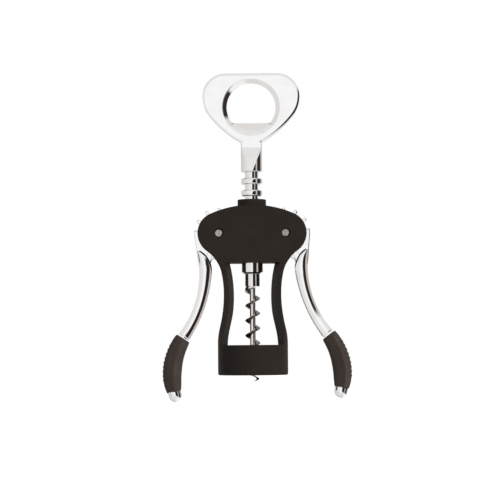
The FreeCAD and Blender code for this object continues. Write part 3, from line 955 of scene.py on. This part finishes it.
def makeWorm():
    kinds = [(label, "Int" if label in ("Steps", "Rows") else "Float") for label in worm]
    wire, value = newTree("wormScrew", kinds + [("Material", "Material")])
    sheet = wire.add("GeometryNodeMeshGrid", inputs={
        "Size X": 1.0, "Size Y": 1.0, "Vertices X": value["Steps"], "Vertices Y": value["Rows"],
    })
    x, y = splitPlace(wire)[:2]
    turns = value["First Turn"] + (x + 0.5) * (value["Last Turn"] - value["First Turn"])
    round01 = y * (2 * math.pi)
    regular = wire.math("MINIMUM", turns, value["Regular Turns"])
    tail = wire.math("MAXIMUM", turns - value["Regular Turns"], 0.0)
    height = value["First Crest"] - value["Pitch"] * regular - value["Tip Pitch"] * tail

    def share(low, high):
        return wire.add("ShaderNodeMapRange", {"interpolation_type": "SMOOTHSTEP"}, {
            "Value": turns, "From Min": low, "From Max": high, "To Min": 0.0, "To Max": 1.0,
        })

    taper = share(value["Taper Start"], value["Taper End"])
    point = share(value["Taper End"], value["Last Turn"])
    outer = blendTo(value["Radius"], value["Tail Radius"], taper)
    inner = blendTo(value["Core Radius"] * value["Buried Share"], value["Tail Root"], taper)
    root = blendTo(value["Root Half Width"], value["Tail Half Width"], taper)
    outer = blendTo(outer, value["Point Radius"] + value["Point Outside"], point)
    inner = blendTo(inner, value["Point Radius"] + value["Point Inside"], point)
    root = blendTo(root, value["Point Half Width"], point)
    crest = blendTo(value["Crest Half Width"], value["Point Half Width"], point)
    out01 = wire.math("COSINE", round01) * 0.5 + 0.5
    reach = blendTo(inner, outer, out01)
    wide = blendTo(root, crest, out01)
    sine = wire.math("SINE", round01)
    side = wire.math("SIGN", sine) * wire.math("POWER", wire.math("ABSOLUTE", sine), value["Fullness"])
    runOut = share(0 - value["Run Out Start"], 0 - value["Run Out End"])
    upward = wire.math("GREATER_THAN", sine, 0.0) * runOut
    toShank = value["Shank Bottom"] + value["Run Out Overlap"] - height
    wide = blendTo(wide, wire.math("MAXIMUM", toShank, wide), upward)
    angle = turns * (-2 * math.pi)
    placed = wire.add("GeometryNodeSetPosition", inputs={
        "Geometry": sheet,
        "Position": vectorOf(
            wire, reach * wire.math("COSINE", angle), reach * wire.math("SINE", angle), height + side * wide
        ),
    })
    flight = wire.add("GeometryNodeMergeByDistance", inputs={
        "Geometry": placed, "Distance": value["Merge Distance"],
    })
    coreTop = value["Shank Bottom"] + value["Core Overlap"]
    core = tube(wire, value["Core Radius"], value["Core Bottom"], coreTop)
    cone = wire.add("GeometryNodeMeshCone", inputs={
        "Vertices": roundSides, "Radius Top": value["Core Radius"],
        "Radius Bottom": value["Core Radius"] * value["Core Tip Share"], "Depth": value["Core Bottom"],
    })
    shank = tube(wire, value["Shank Radius"], value["Shank Bottom"], value["Shank Top"])
    endTree(wire, [flight, core, cone, shank], value["Material"])
    plain = (
        "Regular Turns", "First Turn", "Last Turn", "Taper Start", "Taper End", "Run Out Start",
        "Run Out End", "Core Tip Share", "Buried Share", "Fullness", "Steps", "Rows",
    )
    sizes = {label: size if label in plain else size * mm for label, size in worm.items()}
    piece = bake("wormScrew", wire.tree, {**sizes, "Material": wormPlate}, 50)
    attach(piece, "spindle", "worm_plate", "worm")


makeWorm()
print("worm made")


# Handle with the cap opener's eye, in millimetres
opener = {
    "halfDepth": 2.6,
    "eyeCentre": (0.0, 147.4),
    "rimRadius": 16.0,
    "eyeRadius": 13.5,
    "rimSoft": ((40, 0.8),),
    "rimSteps": 8,
    "faceOverlap": 0.12,
    "edgeSoft": ((20, 3.0), (84, 0.4)),
    "lipDrop": 8.6,
    "lipDepth": 3.4,
    "lipPower": 1.5,
    "backLip": 0.4,
    "backPower": 8,
    "pocketBlend": 8.0,
    "cornerCentre": (14.05, 153.38),
    "cornerRadius": 12.7,
    "shoulderCentre": (9.75, 153.4),
    "shoulderRadius": 17.0,
    "shoulderEnd": -38.0,
    "flankCentre": (-22.56, 178.64),
    "flankRadius": 58.0,
    "flankEnd": -60.9,
    "neck": (5.4, 127.8),
    "spacing": 0.3,
    "neckSmoothing": 6,
    "neckReach": 1.9,
    "shankBottom": 111.68,
    "shankRadius": 5.83,
    "shankDepth": (
        (111.68, 5.83), (112.2, 5.8), (114.6, 5.62), (117.0, 5.25), (119.4, 4.66),
        (121.8, 3.72), (125.1, 2.605), (128.2, 1.5),
    ),
    "shankRound": 0.5,
    "shankSpacing": 0.25,
    "shankRings": 64,
    "shankMargin": 0.005,
}


def openerOutline():
    right = [(0.0, opener["cornerCentre"][1] + opener["cornerRadius"])]
    right += arcPoints(opener["cornerCentre"], opener["cornerRadius"], 90, 0, count=60)
    turn = opener["shoulderEnd"]
    right += arcPoints(opener["shoulderCentre"], opener["shoulderRadius"], 0, turn, count=40)[1:]
    right += arcPoints(opener["flankCentre"], opener["flankRadius"], turn, opener["flankEnd"], count=50)[1:]
    neckWidth, neckHeight = opener["neck"]
    right += arcPoints((0.0, neckHeight), neckWidth, 0, -90, count=30)
    points = []
    for (ax, az), (bx, bz) in zip(right, right[1:]):
        count = max(1, math.ceil(math.hypot(bx - ax, bz - az) / opener["spacing"]))
        points += [(ax + (bx - ax) * k / count, az + (bz - az) * k / count) for k in range(count)]
    points.append(right[-1])
    # Each pass softens the corner where the flank meets the neck
    corner = opener["neck"]
    for again in range(opener["neckSmoothing"]):
        smooth = list(points)
        for index in range(1, len(points) - 1):
            if math.dist(points[index], corner) < opener["neckReach"]:
                low, middle, high = points[index - 1:index + 2]
                smooth[index] = tuple((low[k] + 2 * middle[k] + high[k]) / 4 for k in range(2))
        points = smooth
    return [(-x, z) for x, z in points[1:-1]] + points[::-1]


def eyeSection(x, z, nx, nz):
    # Closed section through the head, from the eye's edge over the front to the outline and back
    ex, ez = opener["eyeCentre"]
    half = opener["halfDepth"]
    size = math.hypot(x - ex, z - ez)
    ux, uz = (x - ex) / size, (z - ez) / size
    rim, eye = opener["rimRadius"], opener["eyeRadius"]
    inner, share = eye, 0.0
    if uz < 0 and opener["lipDrop"] / -uz < eye:
        inner = opener["lipDrop"] / -uz
        corner = math.degrees(math.asin(opener["lipDrop"] / eye))
        share = ease((math.degrees(math.asin(-uz)) - corner) / opener["pocketBlend"])
    front, back = [], []
    profile = [(-opener["faceOverlap"], 0.0)] + softProfile(opener["rimSoft"])
    last = profile[-1]
    slope = math.tan(math.radians(opener["rimSoft"][-1][0]))
    width = rim - eye
    run, steps = width - last[0], opener["rimSteps"]
    profile += [(last[0] + run * k / steps, last[1] + run * slope * k / steps) for k in range(1, steps + 1)]
    for inset, depth in profile:
        part = max(inset / width, 0.0)
        reach = rim - part * (rim - inner) - min(inset, 0.0)
        ramp = opener["lipDepth"] * (rim - inner) / (rim - opener["lipDrop"]) * part ** opener["lipPower"]
        place = (ex + ux * reach, ez + uz * reach)
        front.append((place[0], -half + (1 - share) * depth + share * ramp, place[1]))
        lip = share * opener["backLip"] * part ** opener["backPower"]
        back.append((place[0], half - (1 - share) * depth - lip, place[1]))
    edge = [(-opener["faceOverlap"], 0.0)] + softProfile(opener["edgeSoft"])
    outside = [(x - nx * (edge[-1][0] - i), d, z - nz * (edge[-1][0] - i)) for i, d in edge]
    outerFront = [(px, -half + d, pz) for px, d, pz in outside]
    outerBack = [(px, half - d, pz) for px, d, pz in outside]
    return front[::-1] + outerFront + outerBack[::-1] + back


def clippedRing(radius, depth, height, arcSteps=32, flatSteps=12):
    # A round section whose front and back are cut flat
    corner = math.asin(min(1.0, depth / radius))
    flat = radius * math.cos(corner)
    ring = []
    for sign, first, last in ((1, -corner, corner), (-1, math.pi - corner, math.pi + corner)):
        for step in range(arcSteps + 1):
            angle = first + (last - first) * step / arcSteps
            ring.append((math.cos(angle) * radius, math.sin(angle) * radius, height))
        for step in range(1, flatSteps):
            ring.append((sign * flat * (1 - 2 * step / flatSteps), sign * depth, height))
    return ring


def makeOpener():
    bm = bmesh.new()
    outline = openerOutline()
    sections = [eyeSection(*place, *normal) for place, normal in zip(outline, edgeNormals(outline))]
    skin(bm, sections, closed=True)
    bottom, soft = opener["shankBottom"], opener["shankRound"]
    heights = [(bottom + place, cut) for place, cut in quarterRound(soft)]
    for k in range(1, opener["shankRings"] + 1):
        heights.append((bottom + soft + opener["shankSpacing"] * k, 0.0))
    rings = []
    for height, cut in heights:
        depth = max(along(opener["shankDepth"], height), opener["halfDepth"] + opener["shankMargin"])
        radius = opener["shankRadius"] - cut
        rings.append(clippedRing(radius, min(depth, radius), height))
    skin(bm, rings)
    piece = finishMesh("openerHandle", bm, chrome, sharpAngle=9)
    attach(piece, "spindle", "chrome", "opener_handle")


makeOpener()
print("opener made")


finishes = {
    "frame": frameCoat,
    "neck_guide": guidePlastic,
    "rack_sleeve": chrome,
    "worm": wormPlate,
    "opener_handle": chrome,
    "handle_cross_pin": pinMaterial,
    "left_pivot_pin": pinMaterial,
    "right_pivot_pin": pinMaterial,
    "left_washer_front": washerNylon,
    "left_washer_back": washerNylon,
    "right_washer_front": washerNylon,
    "right_washer_back": washerNylon,
    "left_lever": chrome,
    "right_lever": chrome,
    "left_grip": gripRubber,
    "right_grip": gripRubber,
    "left_end_cap": chrome,
    "right_end_cap": chrome,
}
for name, material in finishes.items():
    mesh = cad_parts[name].data
    mesh.materials.clear()
    mesh.materials.append(material)
print("CAD nodes finished")


studio = {
    "floorDrop": 0.001,
    "floorSize": 3.0,
    "floorColour": (0.90, 0.90, 0.90, 1.0),
    "floorGlow": 0.85,
    "ambient": 0.3,
    "lensDistance": 1.2,
    "eyeHeight": 0.016,
    "aim": (-0.0012, 0.0, 0.06875),
    "frameWidth": 0.275,
    "sensorWidth": 36.0,
    "roll": 0.45,
    "lamps": (
        {"name": "keyLamp", "place": (1.02, -0.82, 0.15), "size": 0.6, "watts": 14.0},
        {"name": "fillLamp", "place": (-0.4, -1.1, 0.4), "size": 0.8, "watts": 2.2},
    ),
}

# What polished metal sees, by its angle in degrees from the camera's side of the room
surroundings = {
    "sideAngle": (-5, -2),
    "sideReach": ((37, 35), (30, 26)),
    "sideTurn": (50, 72),
    "panels": (
        {
            "angle": -55, "reach": (26, 16), "from": (62, 70), "to": (180, 175),
            "colour": (0.97, 0.965, 0.96, 1.0),
        },
        {
            "angle": 97, "reach": (62, 54), "from": (86, 89), "to": (116, 110),
            "colour": (0.03, 0.025, 0.022, 1.0),
        },
        {
            "angle": 206, "reach": (22, 17), "from": (53.5, 54.5), "to": (62, 60.5),
            "colour": (0.15, 0.14, 0.13, 1.0),
        },
    ),
    "side": (
        (0, (1.0, 1.0, 1.0)),
        (5, (1.0, 1.0, 1.0)),
        (7, (0.030, 0.022, 0.019)),
        (45, (0.020, 0.014, 0.012)),
        (48.5, (0.62, 0.56, 0.54)),
        (61, (0.56, 0.51, 0.48)),
        (66, (0.035, 0.028, 0.024)),
        (112, (0.035, 0.028, 0.024)),
        (122, (0.62, 0.60, 0.59)),
        (180, (0.64, 0.63, 0.62)),
    ),
    "elsewhere": (
        (0, (1.0, 1.0, 1.0)),
        (8, (1.0, 1.0, 1.0)),
        (12, (0.87, 0.865, 0.86)),
        (46, (0.84, 0.83, 0.82)),
        (60, (0.80, 0.775, 0.76)),
        (80, (0.79, 0.755, 0.735)),
        (100, (0.70, 0.68, 0.665)),
        (180, (0.64, 0.63, 0.62)),
    ),
}


def makeWorld():
    world = bpy.data.worlds.new("studio")
    bpy.context.scene.world = world
    world.use_nodes = True
    tree = world.node_tree
    tree.nodes.clear()
    wire = Wire(tree)
    direction = wire.add("ShaderNodeTexCoord", output="Generated")
    x, y, z = splitVector(wire, direction)
    away = wire.math("ARCCOSINE", 0 - y) / math.pi
    start, end = (angle / 180 for angle in surroundings["sideTurn"])
    round01 = wire.math("ARCTAN2", z, x)
    middle, outside, inside = (
        spread(wire, away, math.radians(near), math.radians(far), start=start, end=end)
        for near, far in (surroundings["sideAngle"], *surroundings["sideReach"])
    )
    share = spread(wire, wire.math("ABSOLUTE", round01 - middle), 0.0, 1.0, start=outside, end=inside)
    ramps = []
    for key in ("elsewhere", "side"):
        stops = [(angle / 180, colour) for angle, colour in surroundings[key]]
        ramps.append(wire.add("ShaderNodeValToRGB", {"stops": stops}, {"Fac": away}))
    seen = mixColours(wire, share, *ramps)
    for panel in surroundings["panels"]:
        turned = wire.math("ARCCOSINE", wire.math("COSINE", round01 - math.radians(panel["angle"])))
        edge, full = (math.radians(angle) for angle in panel["reach"])
        covered = spread(wire, turned, 0.0, 1.0, start=edge, end=full)
        for key in ("from", "to"):
            begin, done = (angle / 180 for angle in panel[key])
            covered = covered * spread(wire, away, 0.0, 1.0, start=begin, end=done)
        seen = mixColours(wire, covered, seen, panel["colour"])
    path = wire.add("ShaderNodeLightPath").socket.node
    isCamera = Wire(tree, path.outputs["Is Camera Ray"])
    isGlossy = Wire(tree, path.outputs["Is Glossy Ray"])
    ambient = studio["ambient"]
    plain = mixColours(wire, isCamera, (ambient, ambient, ambient, 1.0), (1.0, 1.0, 1.0, 1.0))
    light = mixColours(wire, isGlossy, plain, seen)
    background = wire.add("ShaderNodeBackground", inputs={"Color": light})
    wire.add("ShaderNodeOutputWorld", inputs={"Surface": background})


def makeLamp(name, place, size, watts):
    data = bpy.data.lights.new(name, "AREA")
    data.shape = "DISK"
    data.size = size
    data.energy = watts
    lamp = bpy.data.objects.new(name, data)
    bpy.context.scene.collection.objects.link(lamp)
    lamp.location = place
    target = Vector(studio["aim"])
    lamp.rotation_euler = (target - Vector(place)).to_track_quat("-Z", "Y").to_euler()
    lamp.visible_glossy = False


def makeFloor():
    half = studio["floorSize"] / 2
    height = cadBox[0][2] - studio["floorDrop"]
    mesh = bpy.data.meshes.new("floor")
    corners = [(-half, -half, height), (half, -half, height), (half, half, height), (-half, half, height)]
    mesh.from_pydata(corners, [], [(0, 1, 2, 3)])
    floor = bpy.data.objects.new("floor", mesh)
    bpy.context.scene.collection.objects.link(floor)
    material, wire, shader = newMaterial("floorPaper", {"Roughness": 0.9, "Specular IOR Level": 0.0})
    shader.inputs["Base Color"].default_value = studio["floorColour"]
    path = wire.add("ShaderNodeLightPath", output="Is Camera Ray")
    glow = studio["floorGlow"]
    plug(mixColours(wire, path, (0.0, 0.0, 0.0, 1.0), (glow, glow, glow, 1.0)), shader, "Emission Color")
    shader.inputs["Emission Strength"].default_value = 1.0
    mesh.materials.append(material)
    floor.visible_glossy = False


def makeCamera():
    data = bpy.data.cameras.new("camera")
    data.sensor_width = studio["sensorWidth"]
    data.lens = data.sensor_width * studio["lensDistance"] / studio["frameWidth"]
    camera = bpy.data.objects.new("camera", data)
    bpy.context.scene.collection.objects.link(camera)
    aim = Vector(studio["aim"])
    camera.location = (aim.x, -studio["lensDistance"], studio["eyeHeight"])
    look = (aim - camera.location).to_track_quat("-Z", "Y")
    viewAxis = Vector((0, 0, 1))
    camera.rotation_mode = "QUATERNION"
    camera.rotation_quaternion = look @ Quaternion(viewAxis, math.radians(-studio["roll"]))
    bpy.context.scene.camera = camera


makeWorld()
for lamp in studio["lamps"]:
    makeLamp(**lamp)
makeFloor()
makeCamera()
bpy.context.scene.view_settings.view_transform = "Standard"
print("studio set")
